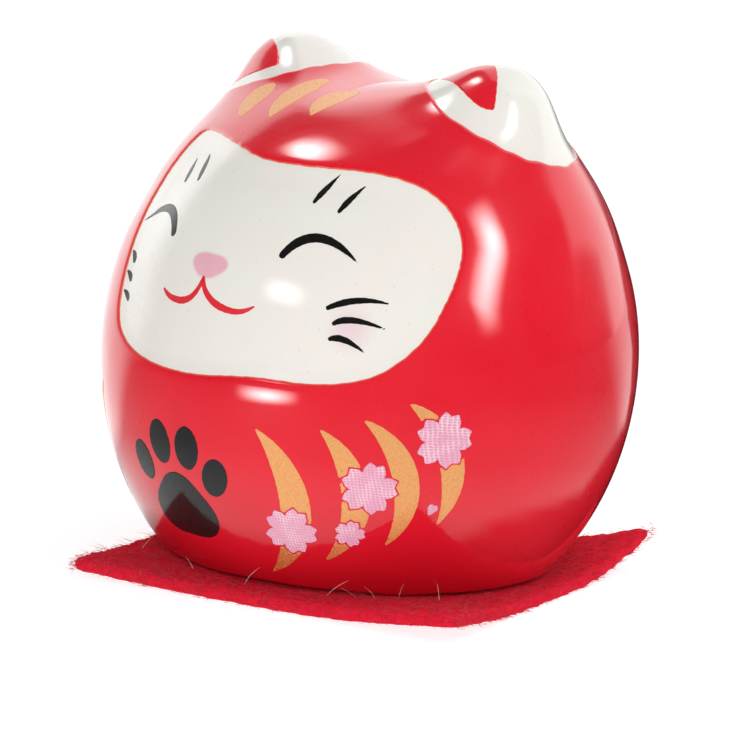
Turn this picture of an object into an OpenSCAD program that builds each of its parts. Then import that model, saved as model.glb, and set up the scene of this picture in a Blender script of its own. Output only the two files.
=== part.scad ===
// Cat-faced daruma figure: a small hollow ceramic roly-poly shape on a square of felt.
// +Z is up, the face looks along -Y, and the origin is on the felt's underside, under the figure's axis.

/* [Figure] */
// Largest width of the round body
body_d = 52; // [44:1:64]
// Height of the body's middle over its foot, as a share of its half width
middle_share = 0.816; // [0.78:0.01:0.86]
// Thickness of the ceramic wall
wall_t = 2.4; // [1.8:0.1:3.2]
// Width of the casting vent in the underside
vent_d = 4; // [2:0.5:8]
// Depth of the hollow inside the foot ring
foot_recess = 0.8; // [0.4:0.1:1.2]
// Width of the foot ring that touches the felt
foot_ring_w = 3.5; // [2.5:0.5:5]

/* [Ears] */
// Distance of the middle of each ear's root from the middle plane
ear_x = 11; // [10.4:0.2:11.6]
// Height of the middle of the root over the foot
ear_root_z = 38.3; // [37.5:0.1:39]
// Radius of the ear's root
ear_root_r = 9.2; // [8.6:0.1:9.6]
// Radius of the ear's tip
ear_tip_r = 4.4; // [3.6:0.1:5]
// Distance from the middle of the root to the middle of the tip
ear_l = 7; // [6.4:0.1:7.6]
// Outward lean of each ear
ear_lean = 14; // [10:1:18]

/* [Red coat] */
// Thickness of the red coat over the white ceramic
coat_t = 0.25; // [0.15:0.05:0.4]
// Thickness of the printed marks
mark_t = 0.12; // [0.08:0.02:0.2]
// Bare ceramic left under the coat at the foot
coat_hem = 0.5; // [0.3:0.1:1]

/* [Face opening] */
// Reach of the white face to the figure's right-hand side, as seen from the front
face_right = 20; // [18:0.5:21]
// Reach of the white face to the other side, where the hood is painted closer to the eye
face_left = 14.2; // [14:0.2:20]
// Height of the lowest line of the face over the foot
face_low = 20.8; // [20:0.2:22]
// Height of the top lobes of the face over the foot
face_high = 40.4; // [39.6:0.2:41]
// Dip of the red hood between the two lobes
face_dip = 0.7; // [0.4:0.1:2]
// Drop of the face opening for each millimetre to the right
face_tilt = 0.02; // [0:0.01:0.04]

/* [Face marks] */
// Length of a closed eye
eye_l = 7.4; // [6:0.2:8.4]
// Width of the brush line of an eye
eye_w = 0.85; // [0.5:0.05:1.1]
// Width of the nose
nose_w = 4.4; // [3.4:0.2:5.2]
// Length of half the mouth
mouth_l = 6; // [5:0.2:6.6]

/* [Body marks] */
// Length of a gold crescent on the body
crescent_l = 14; // [12:0.5:15]
// Number of gold crescents on each side
crescents = 4; // [2:1:4]
// Width of the large blossoms
blossom_d = 5.3; // [4:0.1:5.6]
// Red line kept clear around a blossom
keyline = 0.3; // [0.2:0.05:0.4]
// Extra turn of the left-hand crescents and blossoms away from the paw mark
left_turn = 22; // [18:1:30]
// Width of the black paw mark
paw_w = 13; // [10:0.5:14]

/* [Felt mat] */
// Side of the felt square
mat_side = 40; // [39:0.5:50]
// Thickness of the felt
mat_t = 1.3; // [0.8:0.1:3]
// Turn of the felt about the vertical
mat_turn = 15.6; // [0:0.2:30]
// Shift of the felt to the right, as seen from the front
mat_x = 1.9; // [-3:0.1:3]
// Shift of the felt to the back
mat_y = -2.3; // [-3:0.1:3]

/* [Hidden] */
$fn = 96;

body_r = body_d / 2;
foot_z = mat_t;
middle_z = foot_z + middle_share * body_r;
// Features are drawn in millimetres on a body of this width, and grow with it.
u = body_d / 52;
side_reach = 2 * body_d;
outline_step = 5;
white = [0.93, 0.92, 0.90];
red = [0.89, 0.12, 0.17];
gold = [0.90, 0.68, 0.38];
pink = [0.90, 0.60, 0.74];
black = [0.06, 0.06, 0.06];
felt_red = [0.78, 0.09, 0.20];

// Distance of the skin from the body's middle, as a share of the half width, at a height angle t:
// a sphere drawn in a little towards the crown and swelling towards the foot.
function skin_share(t) = let(s = sin(t))
    0.998 - 0.041 * s + 0.087 * pow(s, 2) - 0.051 * pow(s, 3) - 0.037 * pow(s, 4);
function skin_point(t, lift) = let(r = body_r * skin_share(t) + lift)
    [r * cos(t), middle_z + r * sin(t)];
// Radius of the circle through the ends of a chord and its highest point.
function arc_r(chord, rise) = (pow(chord / 2, 2) + pow(rise, 2)) / (2 * rise);
function signed_pow(v, n) = sign(v) * pow(abs(v), n);

// ---- Solids of the body ----

// Half section of the body, grown by lift, from the foot plane up.
module body_section(lift, from_z = foot_z) {
    intersection() {
        polygon([for (t = [-90 : 3 : 90]) skin_point(t, lift)]);
        translate([0, from_z]) square([side_reach, side_reach]);
    }
}

// A skin over the body between two distances from the ceramic.
module skin(inner, outer, from_z = foot_z) {
    rotate_extrude() difference() {
        body_section(outer, from_z);
        body_section(inner, from_z - 1);
    }
}

// Half section of an ear: the arcs of the root and of the tip, joined by their common tangent.
module ear_section(lift) {
    tangent = asin((ear_root_r - ear_tip_r) / ear_l);
    root_r = ear_root_r * u + lift;
    tip_r = ear_tip_r * u + lift;
    polygon(concat(
        [for (i = [0 : 15]) let(t = -90 + (90 + tangent) * i / 15) root_r * [cos(t), sin(t)]],
        [for (i = [0 : 8]) let(t = tangent + (90 - tangent) * i / 8)
            [tip_r * cos(t), ear_l * u + tip_r * sin(t)]]));
}

// side is 1 for the ear on the right as seen from the front, and -1 for the other.
module ear(side, lift = 0) {
    translate([side * ear_x * u, u, foot_z + ear_root_z * u])
        rotate([0, side * ear_lean, 0]) rotate_extrude() ear_section(lift);
}

module hollow() {
    rotate_extrude() body_section(-wall_t, foot_z + wall_t + foot_recess);
}

module foot_cut() {
    foot_r = body_r * 0.71;
    translate([0, 0, foot_z - 1]) cylinder(h = 1 + foot_recess, r = foot_r - foot_ring_w);
    translate([0, 0, foot_z - 1]) cylinder(h = 10, d = vent_d);
}

module porcelain_body() {
    color(white) difference() {
        union() {
            rotate_extrude() body_section(0);
            for (side = [-1, 1]) ear(side);
        }
        hollow();
        foot_cut();
    }
}

// ---- Stamps: an outline pushed straight into the body from an angle round it ----

// turn is measured from the face towards the figure's right-hand side, height from the foot.
module stamp(turn, height, lean = 0) {
    rotate([0, 0, turn]) translate([0, 0, foot_z + height * u])
        rotate([90, 0, 0]) linear_extrude(side_reach) rotate(lean) children();
}

// Keeps what falls on the bare ceramic of the face.
module on_face() {
    intersection() {
        skin(0, mark_t);
        face_window();
        children();
    }
}

module on_coat() {
    intersection() {
        skin(coat_t, coat_t + mark_t, foot_z + coat_hem);
        children();
    }
}

// A brush line between two tips on the X axis, bulging up.
module crescent(chord, outer_rise, inner_rise) {
    difference() {
        translate([0, outer_rise - arc_r(chord, outer_rise)]) circle(arc_r(chord, outer_rise));
        translate([0, inner_rise - arc_r(chord, inner_rise)]) circle(arc_r(chord, inner_rise));
    }
}

// ---- Red coat ----

module face_outline() {
    half_h = (face_high - face_low) / 2;
    polygon([for (a = [0 : outline_step : 359])
        let(reach = cos(a) > 0 ? face_right : face_left,
            x = reach * signed_pow(cos(a), 0.61),
            z = half_h * signed_pow(sin(a), 0.61),
            dip = z > 0 ? face_dip * exp(-pow(x / 6, 2)) : 0)
        [x * u, (z - dip - face_tilt * x) * u]]);
}

module face_window() {
    stamp(0, (face_high + face_low) / 2) face_outline();
}

module red_coat() {
    color(red) difference() {
        skin(0, coat_t, foot_z + coat_hem);
        face_window();
        for (side = [-1, 1]) ear(side);
    }
}

module inner_ear(side) {
    color(red) intersection() {
        difference() {
            ear(side, mark_t);
            ear(side);
        }
        translate([side * 12.9 * u, 0, foot_z + 46.9 * u])
            rotate([90, 0, 0]) linear_extrude(12 * u)
                polygon(u * [[side * 0.4, 2.2], [-side * 3.4, 0], [side * 2.9, -1.6]]);
    }
}

module inner_ear_left() { inner_ear(-1); }
module inner_ear_right() { inner_ear(1); }

// ---- Face marks ----

module eye(side) {
    color(black) on_face() stamp(side * 26.5, 32.3)
        crescent(eye_l * u, (1.9 + eye_w / 2) * u, (1.9 - eye_w / 2) * u);
}

module eye_left() { eye(-1); }
module eye_right() { eye(1); }

module brow_marks(side) {
    brow_l = 3.4 * u;
    color(black) on_face() for (brow = [[24.5, 38.5], [32.5, 37.9]])
        stamp(side * brow[0], brow[1], side * 66)
            crescent(brow_l, 0.5 * u, 0.1 * u);
}

module brow_marks_left() { brow_marks(-1); }
module brow_marks_right() { brow_marks(1); }

module whiskers(side) {
    // Each whisker: angle round the body, height, length and lean.
    rows = [[37.2, 28.5, 6.1, 6], [37.8, 26.7, 5.2, -3], [35.3, 24.9, 3.7, -17]];
    color(black) on_face() for (whisker = rows)
        stamp(side * whisker[0], whisker[1], side * whisker[3])
            crescent(whisker[2] * u, 0.75 * u, 0.25 * u);
}

module whiskers_left() { whiskers(-1); }
module whiskers_right() { whiskers(1); }

// A triangle with round corners, point down.
module nose() {
    color(pink) on_face() stamp(0, 30.6)
        polygon([for (a = [0 : outline_step : 359])
            let(r = nose_w / 2 * (1 + 0.12 * sin(3 * a)))
            [r * cos(a) * u, 0.56 * r * sin(a) * u]]);
}

module mouth() {
    color(red) on_face() stamp(0, 29) for (side = [-1, 1])
        translate([side * (mouth_l / 2 - 0.1) * u, -0.8 * u]) rotate(side * -18) mirror([0, 1])
            crescent(mouth_l * u, 2.2 * u, 1.6 * u);
}

// ---- Gold and blossoms ----

module forehead_strokes() {
    // Each stroke: angle round the body, height and lean.
    strokes = [[-34, 43.9, -28], [-20, 44.5, -26], [4, 44.8, -24]];
    color(gold) on_coat() for (stroke = strokes)
        rotate([0, 0, stroke[0]]) translate([0, -10.2 * u, 0])
            linear_extrude(side_reach) rotate(90 + stroke[2])
                crescent(6.4 * u, 1.7 * u, 0.2 * u);
}

module crescent_prism(side, i) {
    // The crescents climb and lean a little more towards the figure's side.
    turn = 18 + 12 * i;
    height = 9 + 1.7 * i;
    stamp(side * turn - (side < 0 ? left_turn : 0), height, side * (-90 + 4 * i))
        crescent(crescent_l * u, 5 * u, 2.3 * u);
}

// Blossoms on each side: angle round the body, height and share of the full width.
blossom_spots = [[24.4, 6.5, 0.95], [41.8, 11.6, 1], [56.4, 16.6, 1], [38.3, 6.9, 0.55]];

// Five petals, each with a notch in its tip.
module blossom_outline(d) {
    r = d / 2;
    for (petal = [0 : 4]) rotate(72 * petal)
        polygon(r * [[0, -0.1], [0.3, 0.41], [0.4, 0.72], [0.24, 1],
            [0, 0.84], [-0.24, 1], [-0.4, 0.72], [-0.3, 0.41]]);
}

// Runs its child at each blossom, with the blossom's width as $width.
module at_blossoms(side) {
    for (spot = blossom_spots) {
        $width = blossom_d * spot[2] * u;
        stamp(side * spot[0] - (side < 0 ? left_turn : 0), spot[1], 10) children();
    }
}

module gold_crescents(side) {
    color(gold) on_coat() difference() {
        for (i = [0 : crescents - 1]) crescent_prism(side, i);
        at_blossoms(side) circle($width / 2 + keyline);
    }
}

module gold_crescents_left() { gold_crescents(-1); }
module gold_crescents_right() { gold_crescents(1); }

module blossoms(side) {
    color(pink) on_coat() at_blossoms(side) blossom_outline($width);
}

module blossoms_left() { blossoms(-1); }
module blossoms_right() { blossoms(1); }

// ---- Paw mark on the belly ----

module paw_outline() {
    pad_r = 0.3 * paw_w * u;
    polygon([for (a = [0 : outline_step : 359])
        let(r = pad_r * (1 + 0.1 * sin(3 * a + 180)))
        [r * cos(a), 0.8 * r * sin(a) - 0.5 * pad_r]]);
    for (toe = [[-0.38, 0.16], [-0.14, 0.36], [0.14, 0.36], [0.38, 0.16]])
        translate(paw_w * u * toe) circle(0.1 * paw_w * u);
}

module paw_mark() {
    color(black) on_coat() stamp(-4, 9) paw_outline();
}

// ---- Felt ----

module felt_mat() {
    color(felt_red) translate([mat_x, mat_y, mat_t / 2]) rotate(mat_turn)
        cube([mat_side, mat_side, mat_t], center = true);
}

felt_mat();
porcelain_body();
red_coat();
inner_ear_left();
inner_ear_right();
eye_left();
eye_right();
brow_marks_left();
brow_marks_right();
whiskers_left();
whiskers_right();
nose();
mouth();
forehead_strokes();
gold_crescents_left();
gold_crescents_right();
blossoms_left();
blossoms_right();
paw_mark();
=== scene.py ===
import math

import bpy
import numpy as np
from mathutils import Matrix, Vector


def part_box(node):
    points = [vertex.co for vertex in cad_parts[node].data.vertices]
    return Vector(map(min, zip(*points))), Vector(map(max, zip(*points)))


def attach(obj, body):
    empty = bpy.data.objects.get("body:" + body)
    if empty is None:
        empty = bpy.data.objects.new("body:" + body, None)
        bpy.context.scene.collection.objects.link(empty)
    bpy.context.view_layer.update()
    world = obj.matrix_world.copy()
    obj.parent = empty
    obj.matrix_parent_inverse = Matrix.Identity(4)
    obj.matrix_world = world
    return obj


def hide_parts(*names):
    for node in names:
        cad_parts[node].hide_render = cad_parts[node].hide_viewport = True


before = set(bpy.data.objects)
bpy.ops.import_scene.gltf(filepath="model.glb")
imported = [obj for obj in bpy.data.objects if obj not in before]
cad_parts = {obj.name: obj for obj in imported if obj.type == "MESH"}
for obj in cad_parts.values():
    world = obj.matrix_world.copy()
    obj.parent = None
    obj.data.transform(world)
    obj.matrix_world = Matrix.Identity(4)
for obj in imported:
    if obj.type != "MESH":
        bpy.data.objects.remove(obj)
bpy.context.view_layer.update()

# ---- Driving dimensions ----
# Shapes are drawn in millimetres over the foot plane, on a figure 52 mm wide, and grow with the frame's.

FELT_LOW, FELT_HIGH = (Vector(corner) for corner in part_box("felt_mat"))
BODY_LOW, BODY_HIGH = (Vector(corner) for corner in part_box("porcelain_body"))
DRAWN_WIDTH = 51.94
MM = (BODY_HIGH.x - BODY_LOW.x) / DRAWN_WIDTH
FOOT_Z = BODY_LOW.z
FELT_T = (FELT_HIGH.z - FELT_LOW.z) / MM
# The table's height over the foot, in mm.
FLOOR_HEIGHT = -FOOT_Z / MM

MIDDLE = np.array([0.0, 0.0, 21.22])
BODY_R = 26.0
WALL_T = 2.4
COAT_T = 0.16
COAT_RIM = 0.42
FACE_RECESS = 0.35
FACE_SLOPE = 1.4

# Ears: ball at the root, ball at the tip, and how softly they run into the head.
EAR_ROOT = np.array([11.07, 0.93, 38.27])
EAR_ROOT_R = 8.67
EAR_TIP = np.array([12.86, 1.28, 45.08])
EAR_TIP_R = 4.29
EAR_BLEND = 8.97

# A distance inside a mark for points that are nowhere near it.
FAR_OUT = -20.0

rng = np.random.default_rng(7)


# ---- The figure's skin: a star-shaped surface about the body's middle ----

def body_reach(s):
    """Distance from the middle to the skin, where s is the sine of the height angle."""
    return BODY_R * (0.9978 - 0.0412 * s + 0.0866 * s**2 - 0.0514 * s**3 - 0.0373 * s**4)


def eased(t, ease=0.35):
    """A share held between 0 and 1, without a corner where it is held."""
    low = np.clip(t + ease, 0, 2 * ease)**2 / (4 * ease) + np.maximum(t - ease, 0)
    high = np.clip(1 - t + ease, 0, 2 * ease)**2 / (4 * ease) + np.maximum(1 - t - ease, 0)
    return np.where(t < 0.5, low, 1 - high)


def skin_distance(p):
    """About how far points are outside the head and body, in mm."""
    q = p - MIDDLE
    length = np.maximum(np.linalg.norm(q, axis=-1), 1e-9)
    body = length - body_reach(q[..., 2] / length)
    mirrored = np.stack([np.abs(p[..., 0]), p[..., 1], p[..., 2]], -1)
    axis = EAR_TIP - EAR_ROOT
    along = (mirrored - EAR_ROOT) @ axis / (axis @ axis)
    nearest = EAR_ROOT + np.clip(along, 0, 1)[..., None] * axis
    radius = EAR_ROOT_R + (EAR_TIP_R - EAR_ROOT_R) * eased(along)
    ear = 0.9 * (np.linalg.norm(mirrored - nearest, axis=-1) - radius)
    overlap = np.maximum(EAR_BLEND - np.abs(body - ear), 0) / EAR_BLEND
    return np.minimum(body, ear) - overlap**2 * EAR_BLEND / 4


def unit(v):
    return v / np.maximum(np.linalg.norm(v, axis=-1, keepdims=True), 1e-12)


def smoothstep(low, high, x):
    t = np.clip((x - low) / (high - low), 0, 1)
    return t * t * (3 - 2 * t)


# The skin lies between these distances from the middle, and is closed in on in this many steps.
SKIN_NEAR, SKIN_FAR = 14.0, 36.0
SKIN_STEPS = 22


def bare_skin(directions):
    """Where rays from the middle leave the head or body, before the face is let in."""
    low = np.full(len(directions), SKIN_NEAR)
    high = np.full(len(directions), SKIN_FAR)
    for _ in range(SKIN_STEPS):
        mid = (low + high) / 2
        outside = skin_distance(MIDDLE + mid[:, None] * directions) > 0
        high = np.where(outside, mid, high)
        low = np.where(outside, low, mid)
    return MIDDLE + ((low + high) / 2)[:, None] * directions


def on_body(turn, height):
    """The point of the round body at an angle from the face towards +X, and a height over the foot."""
    low, high = -math.pi / 2, math.pi / 2
    for _ in range(40):
        mid = (low + high) / 2
        if MIDDLE[2] + body_reach(math.sin(mid)) * math.sin(mid) > height:
            high = mid
        else:
            low = mid
    r = body_reach(math.sin(low)) * math.cos(low)
    a = math.radians(turn)
    return np.array([r * math.sin(a), -r * math.cos(a), height])


# ---- Flat shapes, as distances in mm: more than 0 inside ----

def polygon_inside(corners, x, y):
    """Distance to the polygon's edge, positive inside."""
    corners = np.asarray(corners, float)
    inside = np.zeros(np.shape(x), bool)
    nearest = np.full(np.shape(x), 1e9)
    for (ax, ay), (bx, by) in zip(corners, np.roll(corners, -1, axis=0)):
        ex, ey = bx - ax, by - ay
        t = np.clip(((x - ax) * ex + (y - ay) * ey) / (ex * ex + ey * ey + 1e-12), 0, 1)
        nearest = np.minimum(nearest, np.hypot(x - ax - t * ex, y - ay - t * ey))
        crosses = (ay > y) != (by > y)
        side = ex * (y - ay) / (ey if abs(ey) > 1e-12 else 1e-12) + ax
        inside ^= crosses & (x < side)
    return np.where(inside, nearest, -nearest)


def smooth_loop(points, steps=8):
    """A closed curve through the points."""
    p = np.asarray(points, float)
    before, after, beyond = np.roll(p, 1, 0), np.roll(p, -1, 0), np.roll(p, -2, 0)
    rows = []
    for t in np.arange(steps) / steps:
        rows.append(0.5 * (2 * p + (after - before) * t
                           + (2 * before - 5 * p + 4 * after - beyond) * t**2
                           + (3 * p - before - 3 * after + beyond) * t**3))
    return np.stack(rows, 1).reshape(-1, p.shape[1])


def arc_through(start, middle, end, count=25):
    """A curve from start through middle to end."""
    start, middle, end = (np.asarray(q, float) for q in (start, middle, end))
    pull = 2 * middle - (start + end) / 2
    t = np.linspace(0, 1, count)[:, None]
    return (1 - t)**2 * start + 2 * t * (1 - t) * pull + t**2 * end


def brush(line, half_widths, x, y):
    """Inside a brush line of changing width."""
    best = np.full(np.shape(x), -1e9)
    for (ax, ay), (bx, by), wa, wb in zip(line[:-1], line[1:], half_widths[:-1], half_widths[1:]):
        ex, ey = bx - ax, by - ay
        t = np.clip(((x - ax) * ex + (y - ay) * ey) / (ex * ex + ey * ey), 0, 1)
        gap = np.hypot(x - ax - t * ex, y - ay - t * ey)
        best = np.maximum(best, wa + (wb - wa) * t - gap)
    return best


def soften(line, rounds=3):
    """A line with its inner corners cut off, again and again, until it is a curve."""
    line = np.asarray(line, float)
    for _ in range(rounds):
        cut = np.stack([0.75 * line[:-1] + 0.25 * line[1:], 0.25 * line[:-1] + 0.75 * line[1:]], 1)
        line = np.concatenate([line[:1], cut.reshape(-1, 2), line[-1:]])
    return line


def circle_through(a, b, c):
    """Middle and radius of the circle through three points."""
    (ax, ay), (bx, by), (cx, cy) = a, b, c
    d = 2 * (ax * (by - cy) + bx * (cy - ay) + cx * (ay - by))
    qa, qb, qc = ax * ax + ay * ay, bx * bx + by * by, cx * cx + cy * cy
    x = (qa * (by - cy) + qb * (cy - ay) + qc * (ay - by)) / d
    y = (qa * (cx - bx) + qb * (ax - cx) + qc * (bx - ax)) / d
    return x, y, math.hypot(ax - x, ay - y)


def wobble(x, y, size, seed):
    """A small uneven shake of an edge, from -1 to 1, with waves of about the given size in mm."""
    k = 2 * math.pi / size
    return (np.sin(k * (x + 0.6 * y) + seed) + np.sin(k * 1.73 * (y - 0.4 * x) + 2.1 * seed)
            + np.sin(k * 2.9 * (0.7 * x + y) + 3.7 * seed)) / 3


# ---- The face opening ----

# The opening as seen from the front: across, and height over the foot.
FACE_LOOP = [
    (0.0, 39.75), (4.6, 39.7), (10.4, 39.75), (14.4, 39.0), (17.2, 37.3), (19.1, 34.7), (20.0, 31.2),
    (19.9, 27.0), (18.7, 24.0), (16.4, 21.9), (12.5, 21.0), (7.0, 20.95), (0.0, 20.2), (-6.1, 20.4),
    (-10.4, 21.5), (-12.6, 23.6), (-13.3, 28.5), (-13.6, 33.5), (-13.6, 37.3), (-12.6, 40.1),
    (-10.0, 40.75), (-5.0, 40.4),
]
FACE_CURVE = smooth_loop(FACE_LOOP)
# The distance to the opening's edge is worked out once on this grid, and read from it after that.
FACE_CELL = 0.25
FACE_XS = np.arange(-30, 30, FACE_CELL)
FACE_ZS = np.arange(-4, 56, FACE_CELL)
FACE_MAP = polygon_inside(FACE_CURVE, *np.meshgrid(FACE_XS, FACE_ZS, indexing="ij"))


def face_inside(p):
    """Distance inside the face opening, measured across the skin."""
    i = np.clip((p[:, 0] - FACE_XS[0]) / FACE_CELL, 0, len(FACE_XS) - 1.001)
    j = np.clip((p[:, 2] - FACE_ZS[0]) / FACE_CELL, 0, len(FACE_ZS) - 1.001)
    i0, j0 = i.astype(int), j.astype(int)
    fi, fj = i - i0, j - j0
    flat = ((1 - fi) * (1 - fj) * FACE_MAP[i0, j0] + fi * (1 - fj) * FACE_MAP[i0 + 1, j0]
            + (1 - fi) * fj * FACE_MAP[i0, j0 + 1] + fi * fj * FACE_MAP[i0 + 1, j0 + 1])
    return np.where(p[:, 1] < 0, flat, FAR_OUT)


def skin(directions, lift=0.0):
    """Points of the finished skin, with the face let in a little, lift mm further out."""
    p = bare_skin(directions)
    depth = FACE_RECESS * smoothstep(-0.5 * FACE_SLOPE, FACE_SLOPE, face_inside(p))
    return p + (lift - depth)[:, None] * directions


def tangents(directions):
    """Two unit vectors across each direction."""
    helper = np.where(np.abs(directions[:, 2:]) < 0.9, [[0.0, 0.0, 1.0]], [[0.0, 1.0, 0.0]])
    across = unit(np.cross(helper, directions))
    return across, np.cross(directions, across)


def skin_normals(directions):
    across, up = tangents(directions)
    h = 2e-3
    east = skin(unit(directions + h * across)) - skin(unit(directions - h * across))
    north = skin(unit(directions + h * up)) - skin(unit(directions - h * up))
    return unit(np.cross(east, north))


class Chart:
    """A flat drawing plane that touches the skin: u to the right, v up, as seen from outside."""

    def __init__(self, anchor):
        self.axis = unit(np.asarray(anchor, float) - MIDDLE)
        self.touch = np.linalg.norm(skin(self.axis[None])[0] - MIDDLE)
        self.right = unit(np.cross([0.0, 0.0, 1.0], self.axis))
        self.up = np.cross(self.axis, self.right)

    def flat(self, points):
        """Drawing coordinates of points on the skin."""
        q = np.atleast_2d(points) - MIDDLE
        q = q * (self.touch / (q @ self.axis))[:, None]
        return q @ self.right, q @ self.up

    def directions(self, u, v):
        p = self.touch * self.axis + np.outer(u, self.right) + np.outer(v, self.up)
        return unit(p)

    def spots(self, *points):
        """Drawing coordinates, as pairs, of skin points."""
        u, v = self.flat(np.array(points))
        return [(float(a), float(b)) for a, b in zip(u, v)]


# ---- Thin printed or glazed layers ----

def grid_triangles(rows, columns):
    i, j = np.meshgrid(np.arange(rows - 1), np.arange(columns - 1), indexing="ij")
    a = (i * columns + j).ravel()
    return np.concatenate([
        np.stack([a, a + columns + 1, a + 1], 1),
        np.stack([a, a + columns, a + columns + 1], 1),
    ])


def clip(directions, triangles, values, level):
    """Cuts a sheet of triangles where the values pass a level, and keeps the higher side.
    Returns the kept directions, triangles and the cut edges in order round the sheet."""
    inside = values > level
    count = inside[triangles].sum(1)
    whole = triangles[count == 3]
    one, two = triangles[count == 1], triangles[count == 2]
    order = np.arange(3)
    one = np.take_along_axis(one, (np.argmax(inside[one], 1)[:, None] + order) % 3, 1)
    two = np.take_along_axis(two, (np.argmin(inside[two], 1)[:, None] + order) % 3, 1)
    ends = np.concatenate([one[:, [0, 1]], one[:, [0, 2]], two[:, [1, 0]], two[:, [2, 0]]])
    pairs, where = np.unique(ends, axis=0, return_inverse=True)
    t = (values[pairs[:, 0]] - level) / (values[pairs[:, 0]] - values[pairs[:, 1]])
    t = np.clip(t, 0.02, 0.98)[:, None]
    cut = unit(directions[pairs[:, 0]] * (1 - t) + directions[pairs[:, 1]] * t)
    first = len(directions)
    a1, a2, b1, b2 = np.split(first + where.ravel(), np.cumsum([len(one), len(one), len(two)]))
    kept = np.concatenate([
        whole, np.stack([one[:, 0], a1, a2], 1),
        np.stack([b1, two[:, 1], two[:, 2]], 1), np.stack([b1, two[:, 2], b2], 1),
    ])
    edges = np.concatenate([np.stack([a1, a2], 1), np.stack([b2, b1], 1)])
    used, new = np.unique(kept, return_inverse=True)
    places = np.full(first + len(cut), -1)
    places[used] = np.arange(len(used))
    return np.concatenate([directions, cut])[used], new.reshape(-1, 3), places[edges]


def band(before, after):
    """Triangles between two rows of edges."""
    return [np.stack([before[:, 0], after[:, 0], after[:, 1]], 1),
            np.stack([before[:, 0], after[:, 1], before[:, 1]], 1)]


def downhill(field, places, directions, step=0.05):
    """The way along the skin in which a field falls fastest."""
    climbs = [(field(places + step * side) - field(places - step * side))[:, None] * side
              for side in tangents(directions)]
    return unit(-sum(climbs))


RIM_ANGLES = np.radians([28, 52, 74, 90])
SINK = 0.03


def layer(directions, triangles, field, thick, rim, base):
    """A closed layer on the skin where field(points) > 0, with a rounded rim.
    Returns points, faces, normals and, for each point, how far in from the edge it is (0 to 1)."""
    d, top, edges = clip(directions, triangles, field(skin(directions)), rim)
    n = skin_normals(d)
    points, faces, normals, depth = [skin(d, base + thick)], [top], [n], [np.ones(len(d))]
    loop = np.unique(edges)
    start = skin(d[loop])
    outward = downhill(field, start, d[loop])
    total = len(d)
    places = np.zeros(total, int)
    before = edges
    for angle, height in [(a, thick * math.cos(a)) for a in RIM_ANGLES] + [(math.pi / 2, -SINK)]:
        rim_d = unit(start + rim * math.sin(angle) * outward - MIDDLE)
        points.append(skin(rim_d, base + height))
        normals.append(unit(n[loop] * math.cos(angle) * rim + outward * math.sin(angle) * thick))
        depth.append(np.full(len(loop), 1 - math.sin(angle)))
        places[loop] = total + np.arange(len(loop))
        faces += band(before, places[edges])
        before = places[edges]
        total += len(loop)
    points.append(skin(d, base - SINK))
    faces += [top[:, ::-1] + total] + band(before, edges + total)
    normals.append(-n)
    depth.append(np.ones(len(d)))
    return tuple(np.concatenate(parts) for parts in (points, faces, normals, depth))


# ---- Making pieces ----

def make_piece(name, points, faces, material, nodes, body="figure", normals=None, depth=None):
    """A piece of the model, from points in mm over the foot plane. nodes are the CAD nodes that it stands
    for."""
    mesh = bpy.data.meshes.new(name)
    placed = np.asarray(points) * MM + np.array([0, 0, FOOT_Z])
    mesh.from_pydata(placed.tolist(), [], [list(map(int, f)) for f in faces])
    mesh.validate(clean_customdata=False)
    mesh.shade_smooth()
    if depth is not None:
        mesh.attributes.new("depth", "FLOAT", "POINT").data.foreach_set("value", np.asarray(depth, float))
    if normals is not None:
        mesh.normals_split_custom_set_from_vertices(np.asarray(normals).tolist())
    mesh.materials.append(material)
    piece = bpy.data.objects.new(name, mesh)
    bpy.context.scene.collection.objects.link(piece)
    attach(piece, body)
    if nodes:
        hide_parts(*nodes)
    return piece


def printed(chart, shape, half, cell, thick=0.03, rim=0.05, base=0.0, clear=None):
    """One printed mark, as layer returns it. shape(u, v) is more than 0 inside the mark, half is half the
    width and height of its drawing, and clear(points) is less than 0 where something else covers it."""
    us = np.arange(-half[0], half[0] + cell, cell)
    vs = np.arange(-half[1], half[1] + cell, cell)
    u, v = np.meshgrid(us, vs, indexing="ij")

    def field(p):
        inside = shape(*chart.flat(p))
        return inside if clear is None else np.minimum(inside, clear(p))
    directions = chart.directions(u.ravel(), v.ravel())
    return layer(directions, grid_triangles(len(us), len(vs)), field, thick, rim, base)


def put_on(name, marks, material, node):
    """Printed marks as one piece, which stands for one CAD node."""
    points, faces, normals, depth = zip(*marks)
    starts = np.cumsum([0] + [len(p) for p in points[:-1]])
    moved = [f + start for f, start in zip(faces, starts)]
    make_piece(name, np.concatenate(points), np.concatenate(moved), material, [node],
               normals=np.concatenate(normals), depth=np.concatenate(depth))


# ---- Materials ----

def linear(r, g, b):
    """A shader colour from screen values of 0 to 255."""
    def channel(c):
        c = c / 255
        return c / 12.92 if c <= 0.04045 else ((c + 0.055) / 1.055)**2.4
    return (channel(r), channel(g), channel(b), 1.0)


def add_node(tree, kind, output=0, inputs=(), **settings):
    """Adds a shader node, whose inputs are values or other nodes' outputs, and returns one output."""
    made = tree.nodes.new(kind)
    for key, value in settings.items():
        setattr(made, key, value)
    for key, value in dict(inputs).items():
        if isinstance(value, bpy.types.NodeSocket):
            tree.links.new(value, made.inputs[key])
        else:
            made.inputs[key].default_value = value
    return made.outputs[output]


def math_node(tree, operation, a, b=0.0):
    return add_node(tree, "ShaderNodeMath", 0, {0: a, 1: b}, operation=operation)


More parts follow.
